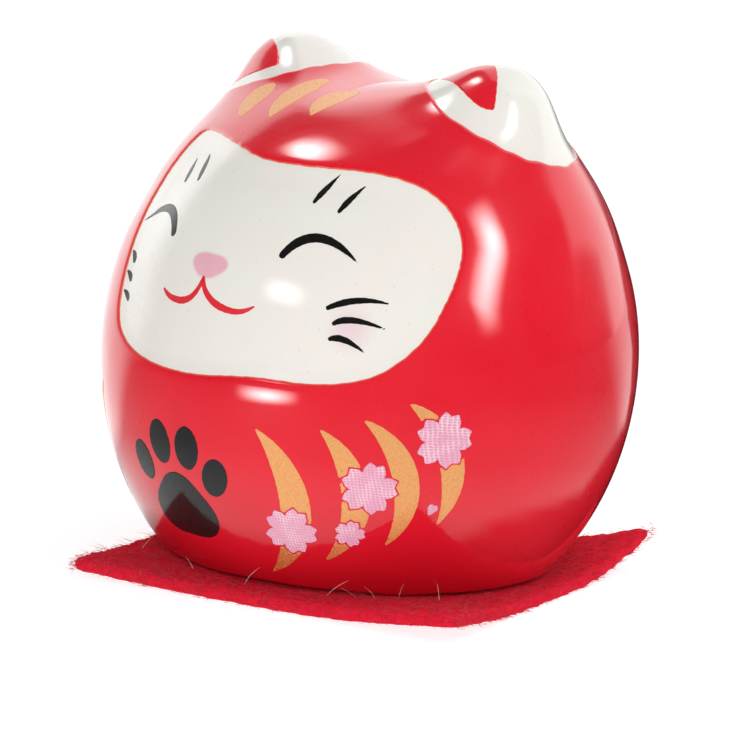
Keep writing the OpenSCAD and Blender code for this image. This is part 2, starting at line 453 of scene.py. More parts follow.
class Finish:
    """A material under construction: node calls return the socket to link on."""

    def __init__(self, name, **settings):
        self.material = bpy.data.materials.new(name)
        self.material.use_nodes = True
        self.tree = self.material.node_tree
        self.shader = self.tree.nodes["Principled BSDF"]
        for key, value in settings.items():
            self.shader.inputs[key.replace("_", " ")].default_value = value
        self.place = self.node("ShaderNodeTexCoord", "Object")

    def node(self, *kind, **settings):
        return add_node(self.tree, *kind, **settings)

    def noise(self, size, detail=3.0, place=None, rough=0.5):
        """Noise with blots about size mm across."""
        return self.node("ShaderNodeTexNoise", "Fac", {
            "Vector": place or self.place, "Scale": 1 / (size * MM), "Detail": detail, "Roughness": rough})

    def math(self, operation, a, b):
        return math_node(self.tree, operation, a, b)

    def between(self, value, low, high, to_low=0.0, to_high=1.0):
        """value from low to high, brought to a range of its own with soft ends."""
        return self.node("ShaderNodeMapRange", 0, {
            "Value": value, "From Min": low, "From Max": high, "To Min": to_low, "To Max": to_high},
            interpolation_type="SMOOTHSTEP")

    def mix(self, share, a, b):
        return self.node("ShaderNodeMix", 2, {0: share, 6: a, 7: b}, data_type="RGBA")

    def depth(self):
        """How far in from the edge of its layer a point is."""
        return self.node("ShaderNodeAttribute", "Fac", attribute_name="depth")

    def height(self):
        """Height over the foot, in mm."""
        z = self.node("ShaderNodeSeparateXYZ", "Z", {0: self.place})
        return self.math("DIVIDE", self.math("SUBTRACT", z, FOOT_Z), MM)

    def color(self, value):
        self.tree.links.new(value, self.shader.inputs["Base Color"])

    def rough(self, value):
        self.tree.links.new(value, self.shader.inputs["Roughness"])

    def bump(self, height, strength, distance_mm):
        normal = self.node("ShaderNodeBump", 0, {
            "Height": height, "Strength": strength, "Distance": distance_mm * MM})
        self.tree.links.new(normal, self.shader.inputs["Normal"])


WHITE = linear(237, 231, 224)
RED = linear(229, 27, 46)
PEACH = linear(236, 112, 84)


def porcelain():
    m = Finish("porcelain", Roughness=0.3, Coat_Weight=1.0, Coat_Roughness=0.03, Specular_IOR_Level=0.1)
    tone = m.mix(m.between(m.noise(9.0), 0.3, 0.7), WHITE, linear(236, 234, 226))
    for side in (1, -1):
        middle = on_body(side * 35.5, 26.4) * MM + np.array([0, 0, FOOT_Z])
        gap = m.node("ShaderNodeVectorMath", "Value", {0: m.place, 1: tuple(middle)}, operation="DISTANCE")
        tone = m.mix(m.between(gap, 0.2 * MM, 3.0 * MM, 0.38, 0.0), tone, linear(228, 160, 190))
    specks = m.between(m.noise(0.35, 0.0), 0.82, 0.85)
    tone = m.mix(m.math("MULTIPLY", specks, 0.2), tone, linear(150, 140, 130))
    # Dark red band round the foot, 0.02 to 0.6 mm up: partly the red glaze running down over the foot, partly
    # painted shade in the gap under the body.
    rim = m.math("MULTIPLY", m.between(m.height(), 0.02, 0.06), m.between(m.height(), 0.3, 0.6, 1.0, 0.0))
    m.color(m.mix(rim, tone, linear(150, 14, 28)))
    m.rough(m.between(m.noise(3.0), 0.2, 0.8, 0.25, 0.35))
    m.bump(m.noise(1.4, 2.0), 0.08, 0.05)
    return m.material


def red_glaze():
    m = Finish("red_glaze", Roughness=0.3, Coat_Weight=1.0, Coat_Roughness=0.03, Specular_IOR_Level=0.1)
    tone = m.mix(m.between(m.noise(7.0, 4.0), 0.3, 0.7), RED, linear(224, 23, 43))
    specks = m.between(m.noise(0.3, 0.0), 0.8, 0.83)
    tone = m.mix(m.math("MULTIPLY", specks, 0.4), tone, linear(160, 10, 25))
    # Painted shade: the red grows darker towards the foot, from 13 mm down to 1 mm over it, where the felt
    # and table shade it.
    tone = m.mix(m.between(m.height(), 1.0, 13.0, 0.75, 0.0), tone, linear(196, 16, 34))
    m.color(m.mix(m.between(m.depth(), 0.0, 0.4), PEACH, tone))
    m.rough(m.between(m.noise(4.0), 0.2, 0.8, 0.25, 0.36))
    m.bump(m.noise(1.1, 3.0), 0.12, 0.05)
    return m.material


def black_print():
    m = Finish("black_print", Roughness=0.45, Coat_Weight=0.8, Coat_Roughness=0.06, Specular_IOR_Level=0.1)
    m.color(m.mix(m.noise(0.6, 4.0), linear(9, 8, 8), linear(24, 22, 22)))
    m.rough(m.between(m.noise(0.4), 0.3, 0.7, 0.4, 0.5))
    m.bump(m.noise(0.25, 2.0), 0.2, 0.02)
    return m.material


def nose_pink():
    m = Finish("nose_pink", Roughness=0.2, Coat_Weight=0.6, Coat_Roughness=0.03)
    tone = m.mix(m.noise(1.5, 3.0), linear(232, 172, 186), linear(238, 186, 196))
    m.color(m.mix(m.between(m.depth(), 0.0, 1.0), WHITE, tone))
    m.bump(m.noise(1.4, 2.0), 0.08, 0.05)
    return m.material


def mouth_red():
    m = Finish("mouth_red", Roughness=0.3, Coat_Weight=0.6, Coat_Roughness=0.05)
    tone = m.mix(m.noise(0.8, 3.0), linear(222, 30, 48), linear(232, 50, 60))
    m.color(m.mix(m.between(m.depth(), 0.0, 0.5), linear(240, 130, 130), tone))
    m.bump(m.noise(0.3, 2.0), 0.1, 0.02)
    return m.material


def gold_print():
    m = Finish("gold_print", Roughness=0.42, Coat_Weight=0.3, Coat_Roughness=0.1, Metallic=0.15)
    flakes = m.between(m.noise(0.13, 2.0, rough=0.7), 0.35, 0.65)
    tone = m.mix(flakes, linear(230, 152, 84), linear(242, 176, 108))
    low = m.between(m.height(), 3.0, 10.0, 1.0, 0.0)
    grain = m.between(m.noise(0.2, 2.0), 0.35, 0.6, 0.3, 0.8)
    tone = m.mix(m.math("MULTIPLY", low, grain), tone, linear(186, 66, 22))
    pits = m.between(m.noise(0.3, 0.0), 0.8, 0.83)
    m.color(m.mix(m.math("MULTIPLY", pits, 0.5), tone, linear(140, 72, 36)))
    m.rough(m.between(m.noise(0.3), 0.3, 0.7, 0.34, 0.55))
    m.bump(m.noise(0.22, 3.0), 0.35, 0.02)
    return m.material


def blossom_pink():
    """Pink print with a fine mesh of paler threads, and a thin dark line round each blossom."""
    m = Finish("blossom_pink", Roughness=0.4, Coat_Weight=0.3, Coat_Roughness=0.1)
    shaken = m.node("ShaderNodeVectorMath", 0, {
        0: m.place,
        1: m.node("ShaderNodeVectorMath", 0, {
            0: m.node("ShaderNodeTexNoise", "Color", {"Vector": m.place, "Scale": 1 / (0.9 * MM)}),
            1: (0.0003, 0.0003, 0.0003)}, operation="MULTIPLY")}, operation="ADD")
    threads = []
    for direction in ("X", "Z"):
        wave = m.node("ShaderNodeTexWave", "Fac", {"Vector": shaken, "Scale": 0.314 / (0.27 * MM)},
                      bands_direction=direction)
        threads.append(m.between(wave, 0.5, 1.0))
    mesh = m.math("MAXIMUM", *threads)
    tone = m.mix(m.noise(1.2), linear(220, 138, 172), linear(228, 152, 184))
    worn = m.between(m.noise(1.6, 2.0), 0.35, 0.65, 0.35, 0.9)
    tone = m.mix(m.math("MULTIPLY", mesh, worn), tone, linear(244, 210, 216))
    m.color(m.mix(m.between(m.depth(), 0.1, 0.5), linear(196, 60, 104), tone))
    m.bump(m.math("ADD", m.noise(0.2, 2.0), mesh), 0.3, 0.02)
    return m.material


def felt_cloth():
    m = Finish("felt", Roughness=0.95, Sheen_Weight=0.25, Sheen_Roughness=0.5, Specular_IOR_Level=0.05)
    m.shader.inputs["Sheen Tint"].default_value = linear(255, 70, 95)
    streak = m.node("ShaderNodeMapping", 0, {
        "Vector": m.place, "Rotation": (0, 0, 0.5), "Scale": (1.0, 0.25, 1.0)})
    fibres = m.noise(0.35, 6.0, streak, 0.7)
    clumps = m.noise(2.4, 4.0)
    tone = m.mix(m.between(fibres, 0.3, 0.7), linear(216, 18, 46), linear(248, 44, 68))
    m.color(m.mix(m.between(clumps, 0.35, 0.7), tone, linear(234, 28, 54)))
    m.bump(m.math("ADD", fibres, m.math("MULTIPLY", clumps, 0.8)), 0.9, 0.35)
    return m.material


def felt_fibre(name, color):
    m = Finish(name, Roughness=0.8, Sheen_Weight=0.2, Specular_IOR_Level=0.15)
    r, g, b = color
    m.color(m.mix(m.noise(3.0), linear(r, g, b), linear(0.85 * r, 0.8 * g, 0.8 * b)))
    return m.material


def pale_floor():
    m = Finish("pale_floor", Roughness=0.7, Specular_IOR_Level=0.0, Emission_Strength=0.85)
    m.shader.inputs["Emission Color"].default_value = linear(255, 254, 255)
    m.color(m.mix(m.noise(60.0, 2.0), linear(150, 150, 150), linear(146, 146, 146)))
    return m.material


def mirrored_glow(name):
    """Light from a mesh whose brightness is stored at its points."""
    material = bpy.data.materials.new(name)
    material.use_nodes = True
    tree = material.node_tree
    tree.nodes.remove(tree.nodes["Principled BSDF"])
    bright = add_node(tree, "ShaderNodeAttribute", "Fac", attribute_name="glow")
    glow = add_node(tree, "ShaderNodeEmission", 0, {"Strength": bright})
    tree.links.new(glow, tree.nodes["Material Output"].inputs["Surface"])
    return material


PORCELAIN = porcelain()
GLAZE = red_glaze()
BLACK = black_print()
NOSE = nose_pink()
MOUTH = mouth_red()
GOLD = gold_print()
BLOSSOM = blossom_pink()
FELT = felt_cloth()


# ---- Porcelain body ----

TOP_WAY = np.array([[0.0, 0.0, 1.0]])


def level_ring(turns, r, z):
    """Points of a level ring, at turns round it from the front."""
    return np.stack([r * np.sin(turns), -r * np.cos(turns), np.full(len(turns), z)], 1)


def round_quads(rows, columns, first=0):
    """Faces between closed rings, each of which follows the one before."""
    return [(a + k, a + columns + k, a + columns + (k + 1) % columns, a + (k + 1) % columns)
            for a in range(first, first + (rows - 1) * columns, columns) for k in range(columns)]


def lathe_rows():
    """The underside and the hollow, as radius and height over the foot, from the skin inwards."""
    foot_r = 18.0
    foot_round = 0.55
    ring_in = 15.1
    recess = 0.8
    vent_r = 2.0
    floor_top = recess + WALL_T
    rows = [(foot_r + 0.62 * math.cos(a), foot_round * (1 - math.sin(a)))
            for a in np.radians([20, 45, 70, 90])]
    rows += [(ring_in + 1.8, 0.0), (ring_in + 0.35, 0.0), (ring_in + 0.1, 0.1), (ring_in, 0.3)]
    rows += [(ring_in - 0.15, recess - 0.2), (ring_in - 0.4, recess), (8.0, recess), (vent_r + 0.5, recess)]
    rows += [(vent_r + 0.1, recess + 0.15), (vent_r, recess + 0.5), (vent_r, floor_top - 0.4)]
    rows += [(vent_r + 0.3, floor_top), (8.0, floor_top), (13.0, floor_top)]
    for climb in np.radians(np.linspace(-48, 89, 70)):
        reach = body_reach(math.sin(climb)) - WALL_T
        z = MIDDLE[2] + reach * math.sin(climb)
        if z > floor_top + 0.4:
            rows.append((reach * math.cos(climb), z))
    return rows


def porcelain_body():
    columns = 336
    turns = np.linspace(0, 2 * math.pi, columns, endpoint=False)
    climbs = np.radians(np.linspace(89.4, -47.6, 250))
    rings = [skin(level_ring(turns, math.cos(climb), math.sin(climb))) for climb in climbs]
    rings += [level_ring(turns, r, z) for r, z in lathe_rows()]
    inner_top = MIDDLE + (body_reach(1.0) - WALL_T) * TOP_WAY
    points = np.concatenate([skin(TOP_WAY)] + rings + [inner_top])
    last = 1 + (len(rings) - 1) * columns
    faces = round_quads(len(rings), columns, 1)
    for k in range(columns):
        n = (k + 1) % columns
        faces += [(0, 1 + k, 1 + n), (last + n, last + k, len(points) - 1)]
    make_piece("porcelain_shell", points, faces, PORCELAIN, ["porcelain_body"])


porcelain_body()


# ---- Red coat ----

# The white of each ear lies beyond a slanting plane. For each side: how far the plane faces outwards,
# back and up, and its distance from the middle of the foot.
EAR_LINES = {1: (0.397, 0.108, 0.912, 45.62), -1: (0.367, 0.005, 0.930, 46.45)}
HEM = 0.2


def ear_white(p, side):
    """Distance inside the white of an ear."""
    across, back, up, height = EAR_LINES[side]
    line = side * across * p[:, 0] + back * p[:, 1] + up * p[:, 2] - height
    line = line + 0.12 * wobble(p[:, 0], p[:, 1], 9.0, side)
    return np.where(side * p[:, 0] > 0, line, FAR_OUT)


def coat_inside(p):
    """Distance inside the red coat: off the face, off the ears and above the hem."""
    edge = -face_inside(p) + 0.035 * wobble(p[:, 0], p[:, 2], 1.7, 1.0) * (p[:, 1] < 0)
    for side in (1, -1):
        edge = np.minimum(edge, -ear_white(p, side))
    turn = np.arctan2(p[:, 0], p[:, 1])
    hem = HEM + 0.08 * np.sin(5 * turn) + 0.05 * np.sin(13 * turn + 1)
    return np.minimum(edge, p[:, 2] - hem)


def red_coat():
    columns = 400
    climbs = np.radians(np.linspace(-48.2, 89.6, 290))
    turns = np.linspace(0, 2 * math.pi, columns, endpoint=False)
    rings = [level_ring(turns, math.cos(climb), math.sin(climb)) for climb in climbs]
    directions = np.concatenate(rings + [TOP_WAY])
    quads = np.array(round_quads(len(climbs), columns))
    pole = len(directions) - 1
    last = pole - columns + np.arange(columns)
    cap = np.stack([last, np.roll(last, -1), np.full(columns, pole)], 1)
    triangles = np.concatenate([quads[:, [0, 3, 2]], quads[:, [0, 2, 1]], cap])
    p, f, n, d = layer(directions, triangles, coat_inside, COAT_T, COAT_RIM, 0.0)
    make_piece("red_coat_glaze", p, f, GLAZE, ["red_coat"], normals=n, depth=d)


red_coat()


# ---- Marks on the face ----

SIDES = {1: "right", -1: "left"}

# Each line: start, middle and end, as angle round the body and height over the foot.
EYES = {
    1: [[(17.6, 32.3), (25.6, 34.15), (36.0, 32.15)]],
    -1: [[(-17.2, 32.3), (-25.4, 34.15), (-35.0, 32.2)]],
}
BROWS = {
    1: [[(21.9, 37.2), (24.3, 38.5), (27.4, 39.6)], [(29.2, 36.6), (32.1, 37.9), (35.8, 38.95)]],
    -1: [[(-21.2, 37.2), (-24.4, 38.5), (-28.4, 39.5)], [(-27.3, 36.7), (-30.0, 37.8), (-33.2, 38.8)]],
}
WHISKERS = {
    1: [[(30.2, 28.1), (37.1, 29.0), (44.4, 28.75)], [(31.9, 26.75), (36.5, 27.15), (43.9, 26.4)],
        [(31.4, 25.3), (34.8, 25.25), (39.3, 24.1)]],
    -1: [[(-30.3, 28.6), (-31.3, 29.1), (-33.2, 29.5)], [(-28.9, 26.9), (-30.0, 27.3), (-32.0, 27.6)],
         [(-27.6, 25.1), (-28.7, 25.5), (-30.7, 25.8)]],
}
# Each kind of line: piece, CAD node, lines, and half widths from start to end.
FACE_LINES = [
    ("eye_print_", "eye_", EYES, [0.36, 0.46, 0.48, 0.43, 0.30, 0.03]),
    ("brow_print_", "brow_marks_", BROWS, [0.18, 0.31, 0.28, 0.15, 0.02]),
    ("whisker_print_", "whiskers_", WHISKERS, [0.22, 0.32, 0.29, 0.18, 0.02]),
]


def brush_mark(points, widths, cell=0.09, base=0.0, shake=0.02):
    """A brush line through three points of the skin, with half widths along it."""
    chart = Chart(points[1])
    line = arc_through(*chart.spots(*points))
    half = np.interp(np.linspace(0, 1, len(line)), np.linspace(0, 1, len(widths)), widths)

    def shape(u, v):
        return brush(line, half, u, v) + shake * wobble(u, v, 0.7, line[0][0])
    reach = np.abs(line).max(0) + max(widths) + 0.3
    return printed(chart, shape, reach, cell, rim=0.04, base=base)


for side, word in SIDES.items():
    for piece, node, lines, widths in FACE_LINES:
        marks = [brush_mark([on_body(*spot) for spot in line], widths) for line in lines[side]]
        put_on(piece + word, marks, BLACK, node + word)


def nose():
    def shape(u, v):
        a = np.arctan2(v * 1.7, u)
        return 2.3 * (1 + 0.08 * np.sin(3 * a + 0.2)) - np.hypot(u, v * 1.9)
    mark = printed(Chart(on_body(-0.9, 30.35)), shape, (3.2, 2.4), 0.12, thick=0.02, rim=0.35)
    put_on("nose_print", [mark], NOSE, "nose")


# The two curves of the mouth, from the middle outwards: angle round the body and height.
MOUTH_CURVES = [
    [(-1.35, 29.15), (-1.9, 28.1), (-3.3, 27.15), (-5.6, 26.62), (-8.9, 26.6), (-11.2, 26.85),
     (-13.2, 27.35)],
    [(-1.35, 29.15), (-0.6, 28.3), (1.3, 27.5), (4.3, 26.85), (8.4, 26.55), (11.3, 26.75), (13.7, 27.4)],
]


def mouth_curve(spots):
    points = [on_body(*spot) for spot in spots]
    chart = Chart(points[3])
    line = soften(chart.spots(*points))
    half = np.interp(np.linspace(0, 1, len(line)), [0, 0.2, 0.5, 0.8, 1], [0.16, 0.26, 0.36, 0.24, 0.03])

    def shape(u, v):
        return brush(line, half, u, v) + 0.02 * wobble(u, v, 0.7, 1.0)
    return printed(chart, shape, np.abs(line).max(0) + 0.8, 0.09)


nose()
put_on("mouth_print", [mouth_curve(spots) for spots in MOUTH_CURVES], MOUTH, "mouth")

# Outline of the painted inner ears: the three corners, and between them a point that bows each side.
INNER_EARS = {
    1: [(7.5, -1.6, 47.5), (9.55, -0.7, 48.75), (12.7, 0.2, 49.6), (14.9, -2.0, 47.9), (15.7, -3.2, 45.85),
        (12.95, -3.95, 46.85)],
    -1: [(-10.5, -4.25, 46.75), (-12.2, -2.7, 48.2), (-15.0, -0.6, 48.8), (-17.3, -1.6, 46.4),
         (-17.0, -3.8, 43.9), (-13.4, -5.0, 45.3)],
}


def inner_ear(side):
    """A painted triangle with slightly bowed sides."""
    spots = [np.array(spot) for spot in INNER_EARS[side]]
    chart = Chart(sum(spots) / len(spots))
    flat = chart.spots(*spots)
    sides = [arc_through(flat[k], flat[k + 1], flat[(k + 2) % 6], 9)[:-1] for k in (0, 2, 4)]
    outline = np.concatenate(sides)

    def shape(u, v):
        return polygon_inside(outline, u, v) + 0.03 * wobble(u, v, 0.9, side)
    mark = printed(chart, shape, np.abs(outline).max(0) + 0.5, 0.14, thick=0.06, rim=0.12)
    put_on("ear_paint_" + SIDES[side], [mark], GLAZE, "inner_ear_" + SIDES[side])


inner_ear(1)
inner_ear(-1)


# ---- Gold and blossoms ----

# Each crescent: top tip, outer bulge, bottom tip, inner bulge, as angle round the body and height.
CRESCENTS = [
    [(16.6, 16.3), (29.4, 8.6), (17.6, 1.7), (22.4, 8.4)],
    [(30.4, 17.0), (42.3, 9.1), (32.4, 3.7), (36.2, 8.9)],
    [(39.3, 18.2), (52.5, 12.1), (46.5, 5.7), (47.3, 11.2)],
    [(48.2, 20.0), (62.0, 13.4), (57.7, 8.0), (57.1, 12.7)],
]
# Each blossom: angle round the body, height, width and turn.
BLOSSOMS = [(24.4, 6.45, 5.2, -22), (41.8, 11.5, 5.4, -13), (56.6, 16.5, 5.5, -12), (38.3, 6.8, 3.0, -15)]
LOOSE_PETAL = (55.5, 9.7, 1.3, -20)
PETALS = 5
# How much further round the body the marks on the left lie.
LEFT_TURN = 22
# The gap between gold and blossoms.
KEYLINE = 0.12


def petal_outline(r, turn):
    """A petal with a notch in its tip, along the direction turn."""
    across = np.array([0, 0.40, 0.40, 0.25, 0, -0.25, -0.40, -0.40]) * r
    along = np.array([-0.1, 0.54, 0.72, 1.0, 0.88, 1.0, 0.72, 0.54]) * r
    c, s = math.cos(turn), math.sin(turn)
    return np.stack([across * c - along * s, across * s + along * c], 1)


def blossom_inside(u, v, width, turn):
    turns = [math.radians(turn + 360 / PETALS * k) for k in range(PETALS)]
    return np.max([polygon_inside(petal_outline(width / 2, a), u, v) for a in turns], axis=0)


def crescent_inside(u, v, tips):
    """Between an outer arc and a flatter inner arc through the same tips."""
    top, outer, bottom, inner = tips
    ox, oy, outer_r = circle_through(top, outer, bottom)
    ix, iy, inner_r = circle_through(top, inner, bottom)
    return np.minimum(outer_r - np.hypot(u - ox, v - oy), np.hypot(u - ix, v - iy) - inner_r)


def spot_on(side, turn, height):
    return on_body(side * turn - (LEFT_TURN if side < 0 else 0), height)


def off_blossoms(p, blooms):
    """Distance outside the blossoms, less the gap round them."""
    clear = np.full(len(p), -FAR_OUT)
    for chart, width, lean in blooms:
        u, v = chart.flat(p)
        near = (np.hypot(u, v) < width) & ((p - MIDDLE) @ chart.axis > 0)
        inside = blossom_inside(u[near], v[near], width, lean)
        clear[near] = np.minimum(clear[near], -inside - KEYLINE)
    return clear


def crescent(side, number, blooms):
    points = [spot_on(side, *spot) for spot in CRESCENTS[number]]
    chart = Chart(sum(points) / len(points))
    tips = chart.spots(*points)

    def shape(u, v):
        shake = 0.035 * wobble(u, v, 0.55, number) + 0.03 * wobble(u, v, 2.0, number)
        return crescent_inside(u, v, tips) + shake
    reach = np.abs(np.array(tips)).max(0) + 0.6
    return printed(chart, shape, reach, 0.14, base=COAT_T, clear=lambda p: off_blossoms(p, blooms))


def blossom(chart, width, lean):
    def shape(u, v):
        return blossom_inside(u, v, width, lean) + 0.015 * wobble(u, v, 0.5, lean)
    half = 0.56 * width
    return printed(chart, shape, (half, half), 0.11, thick=0.035, rim=0.10, base=COAT_T)


def loose_petal(side):
    turn, height, size, lean = LOOSE_PETAL
    outline = petal_outline(size, math.radians(side * lean)) - [0, size / 2]

    def shape(u, v):
        return polygon_inside(outline, u, v)
    chart = Chart(spot_on(side, turn, height))
    return printed(chart, shape, (size, size), 0.1, thick=0.035, rim=0.10, base=COAT_T)


def gold_and_blossoms(side):
    word = SIDES[side]
    blooms = [(Chart(spot_on(side, turn, z)), width, side * lean) for turn, z, width, lean in BLOSSOMS]
    golds = [crescent(side, number, blooms) for number in range(len(CRESCENTS))]
    put_on("gold_print_" + word, golds, GOLD, "gold_crescents_" + word)
    pinks = [blossom(*bloom) for bloom in blooms] + [loose_petal(side)]
    put_on("blossom_print_" + word, pinks, BLOSSOM, "blossoms_" + word)


gold_and_blossoms(1)
gold_and_blossoms(-1)

# Forehead strokes: front tip, middle, back end, as points over the foot, and their half widths.
FOREHEAD = [
    [(-7.8, -12.15, 42.4), (-8.9, -9.6, 43.9), (-8.8, -7.45, 44.9)],
    [(-3.85, -12.6, 42.9), (-4.6, -9.0, 44.6), (-4.1, -5.2, 45.9)],
    [(0.4, -11.6, 43.6), (-0.1, -8.6, 44.8), (0.7, -6.2, 45.5)],
]
FOREHEAD_WIDTHS = [0.05, 0.75, 1.2, 1.4, 1.3, 0.75]

put_on("forehead_print", [brush_mark(np.array(spots), FOREHEAD_WIDTHS, cell=0.12, base=COAT_T, shake=0.03)
                          for spots in FOREHEAD], GOLD, "forehead_strokes")


# ---- Paw mark ----

# The toes on one side: place, half width and half height on the drawing, and lean.
TOES = [(1.9, 4.4, 1.55, 2.3, -8), (5.0, 1.7, 1.5, 2.1, -24)]
PAD_R = 4.0
PAD_DROP = 2.2


def paw_inside(u, v):
    a = np.arctan2(v + PAD_DROP, u)
    best = PAD_R * (1 - 0.10 * np.sin(3 * a)) - np.hypot(u, (v + PAD_DROP) * 1.18)
    for side in (1, -1):
        for x, y, half_w, half_h, lean in TOES:
            c, s = math.cos(math.radians(side * lean)), math.sin(math.radians(side * lean))
            across = (u - side * x) * c + (v - y) * s
            along = (v - y) * c - (u - side * x) * s
            best = np.maximum(best, (1 - np.hypot(across / half_w, along / half_h)) * half_w)
    return best + 0.03 * wobble(u, v, 1.3, 4.0)


PAW = printed(Chart(on_body(-5, 8.8)), paw_inside, (7.4, 7.4), 0.14, thick=0.04, rim=0.07, base=COAT_T)
put_on("paw_print", [PAW], BLACK, "paw_mark")


# ---- Felt mat ----

FELT_WIDE = 40.0
FELT_DEEP = 41.0
FELT_TURN = math.radians(15.6)
# The middle of the felt, and how far its sheet is set to the front of that.
FELT_X, FELT_Y = 1.9, -2.3
FELT_FORWARD = 0.5
# Where the figure presses the felt flat.
FOOT_R = 18.6
# Each corner: signs of its place on the mat, how high it stands and how far it is drawn out.
CORNERS = [(-1, -1, 0.6, 0.2), (1, -1, 1.6, 0.8), (1, 1, 3.2, 2.4), (-1, 1, 0.8, 0.3)]


def felt_place(a, b):
    """A place on the felt, from its middle: a and b run from -1 to 1."""
    u = a * FELT_WIDE / 2
    v = b * FELT_DEEP / 2 - FELT_FORWARD
    for sa, sb, _, drawn in CORNERS:
        share = drawn * np.clip((1 + sa * a) / 2, 0, 1)**3 * np.clip((1 + sb * b) / 2, 0, 1)**3
        u = u + sa * share
        v = v + sb * share
    c, s = math.cos(FELT_TURN), math.sin(FELT_TURN)
    return FELT_X + u * c - v * s, FELT_Y + u * s + v * c


def felt_lift(x, y):
    """How far the felt stands off the table: flat under the figure, curling up to its corners."""
    r = np.hypot(x, y)
    flat = FOOT_R + 0.6
    total = np.zeros(np.shape(x))
    for sa, sb, height, _ in CORNERS:
        cx, cy = felt_place(sa, sb)
        reach = math.hypot(cx, cy)
        out = np.clip((r - flat) / (reach - flat), 0, 1.2)
        facing = np.clip((x * cx + y * cy) / (np.maximum(r, 1e-6) * reach), 0, 1)
        total += height * out**1.3 * facing**14
    return total


def sheet_faces(n):
    """Faces of a closed sheet: n by n points on its top, and as many below them."""
    top = [(k, k + n, k + n + 1, k + 1) for i in range(n - 1) for k in range(i * n, i * n + n - 1)]
    bottom = [tuple(n * n + k for k in reversed(quad)) for quad in top]
    last = n * n - 1
    ring = list(range(0, last, n)) + list(range(last - n + 2, last, 1))
    ring += list(range(last, 0, -n)) + list(range(n - 2, 0, -1))
    rim = [(p, p + n * n, q + n * n, q) for p, q in zip(ring, ring[1:] + ring[:1])]
    return top + bottom + rim


def felt_sheet():
    count = 161
    axis = np.linspace(-1, 1, count)
    a, b = (g.ravel() for g in np.meshgrid(axis, axis, indexing="ij"))
    wave_a = 0.011 * wobble(b * 20, a * 3, 3.1, 1.0) + 0.008 * np.sin(b * 3 + 1) * np.abs(a)
    wave_b = 0.011 * wobble(a * 20, b * 3, 3.3, 2.0) + 0.008 * np.sin(a * 3) * np.abs(b)
    corner = 0.02 * np.clip((np.abs(a) + np.abs(b) - 1.9) / 0.1, 0, 1)
    x, y = felt_place(a * (1 + wave_a - corner), b * (1 + wave_b - corner))
    edge = np.maximum(np.abs(a), np.abs(b))
    round_over = np.sqrt(np.clip(1 - ((edge - 0.965) / 0.035)**2 * (edge > 0.965), 0, 1))
    free = smoothstep(FOOT_R - 0.5, FOOT_R + 2, np.hypot(x, y))
    fluff = free * (0.10 * wobble(x, y, 2.3, 5.0) + 0.06 * wobble(x, y, 0.9, 6.0))
    half_t = FELT_T / 2 * (0.35 + 0.65 * round_over)
    middle = FLOOR_HEIGHT + felt_lift(x, y) + FELT_T / 2
    top = np.stack([x, y, middle + half_t + fluff * round_over], 1)
    bottom = np.stack([x, y, middle - half_t], 1)
    points = np.concatenate([top, bottom])
    return make_piece("felt_sheet", points, sheet_faces(count), FELT, ["felt_mat"], body="mat")


HAIR_STEPS = 4
HAIR_SIDES = 3


def hair(root, length, heading, rise, curl, radius, bend):
    """Points of one hair, which starts at its root and bends as it goes."""
    points = []
    place = np.array(root)
    for share in np.arange(HAIR_STEPS + 1) / HAIR_STEPS:
        lean = rise * (1 - bend * share)
        level = np.array([math.cos(heading), math.sin(heading), 0.0])
        way = level * math.cos(lean) + np.array([0.0, 0.0, math.sin(lean)])
        side = np.array([-level[1], level[0], 0.0])
        over = np.cross(way, side)
        thin = radius * (1 - 0.75 * share**2)
        for turn in np.arange(HAIR_SIDES) * 2 * math.pi / HAIR_SIDES:
            points.append(place + thin * (math.cos(turn) * side + math.sin(turn) * over))
        place = place + length / HAIR_STEPS * way
        place[2] = max(place[2], FLOOR_HEIGHT + radius)
        heading += curl
    return points


def hairs(name, roots, lengths, radius, headings, rises, curls, material, bend=1.3):
    """Thin closed hairs as one piece."""
    points, faces = [], []
    for root, length, heading, rise, curl in zip(roots, lengths, headings, rises, curls):
        first = len(points)
        points += hair(root, length, heading, rise, curl, radius, bend)
        faces += [quad[::-1] for quad in round_quads(HAIR_STEPS + 1, HAIR_SIDES, first)]
        faces += [(first + 2, first + 1, first), tuple(range(len(points) - HAIR_SIDES, len(points)))]
    return make_piece(name, points, faces, material, [], body="mat")


def felt_fuzz():
    """Short red hairs all over the top and thicker along the edges."""
    count_top, count_edge = 4600, 3200
    along = rng.uniform(-1, 1, count_edge)
    which = rng.integers(0, 4, count_edge)
    at = rng.uniform(0.975, 0.995, count_edge)
    a = np.concatenate([rng.uniform(-1, 1, count_top), np.select([which == 0, which == 1], [at, -at], along)])
    b = np.concatenate([rng.uniform(-1, 1, count_top), np.select([which == 2, which == 3], [at, -at], along)])
    x, y = felt_place(a, b)
    keep = np.hypot(x, y) > FOOT_R + 0.9
    edge = (np.arange(len(x)) >= count_top)[keep]
    x, y = x[keep], y[keep]
    count = len(x)
    drop = np.where(edge, rng.uniform(0.2, FELT_T, count), 0.05)
    z = FLOOR_HEIGHT + felt_lift(x, y) + FELT_T - drop
    outward = np.arctan2(y - FELT_Y, x - FELT_X)
    heading = np.where(edge, outward + rng.normal(0, 0.8, count), rng.uniform(0, 2 * math.pi, count))
    rise = np.where(edge, rng.uniform(-0.3, 0.5, count), rng.uniform(0.15, 0.6, count))
    length = np.where(edge, rng.uniform(0.3, 1.0, count), rng.uniform(0.6, 2.0, count))
    roots = np.stack([x, y, np.maximum(z, FLOOR_HEIGHT + 0.05)], 1)
    return hairs("felt_hairs", roots, length, 0.022, heading, rise, rng.normal(0, 0.35, count),
                 felt_fibre("felt_fibre", (226, 34, 62)))


# Each stray hair: bearing round the figure, and distance from its middle.
STRAYS = [(-10, 20.0), (10, 20.5), (33, 20.8), (41, 20.2), (46, 21.0), (52, 20.6), (63, 20.9), (-35, 21.4)]


